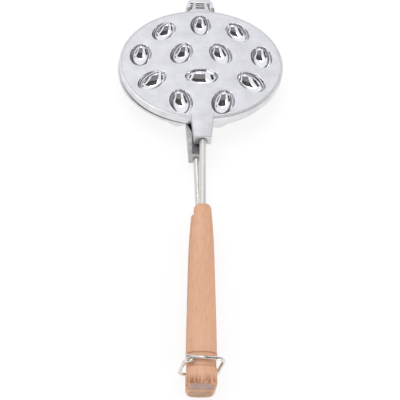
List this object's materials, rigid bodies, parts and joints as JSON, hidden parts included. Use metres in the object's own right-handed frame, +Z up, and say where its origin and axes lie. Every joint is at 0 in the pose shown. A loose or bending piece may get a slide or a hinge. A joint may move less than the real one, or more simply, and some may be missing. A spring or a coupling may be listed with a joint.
{
  "type": "walnut cookie mold",
  "caption": "Hinged stovetop mold with two round plates of walnut-shaped forms, steel rods, wooden handles and a wire locking ring.",
  "frame": {"origin": "middle of the outside box, on the plane of the lower dome crowns that the mold rests on", "axes": "+Y from the handles to the hinge, +Z up, +X to the right seen from the handles"},
  "size_m": [0.1738, 0.468, 0.0401],
  "materials": {
    "upper_plate_aluminium": "cast and brushed, polished wells",
    "lower_plate_aluminium": "cast and brushed",
    "hinge_pin_steel": "satin",
    "upper_rod_steel": "satin nickel",
    "lower_rod_steel": "satin nickel",
    "upper_handle_beech": "sanded beech",
    "lower_handle_beech": "sanded beech",
    "locking_ring_nickel": "bright nickel"
  },
  "bodies": {
    "lower_half": {"lower_plate": "lower_plate_aluminium", "hinge_pin": "hinge_pin_steel", "lower_rod": "lower_rod_steel", "lower_handle": "lower_handle_beech"},
    "upper_half": {"upper_plate": "upper_plate_aluminium", "upper_rod": "upper_rod_steel", "upper_handle": "upper_handle_beech"},
    "ring": {"locking_ring": "locking_ring_nickel"}
  },
  "joints": [
    {"name": "lid_hinge", "type": "hinge", "parent": "lower_half", "child": "upper_half", "pos_m": [-0.00171, 0.21801, 0.02272], "axis": [-1, 0, 0], "range_deg": [0, 105]},
    {"name": "ring_slide", "type": "slide", "parent": "lower_half", "child": "ring", "axis": [0, -1, 0], "range_m": [0, 0.06]}
  ],
  "couplings": [
    {"joint": "ring_slide", "follows": "lid_hinge", "m_per_rad": 0.0327}
  ]
}
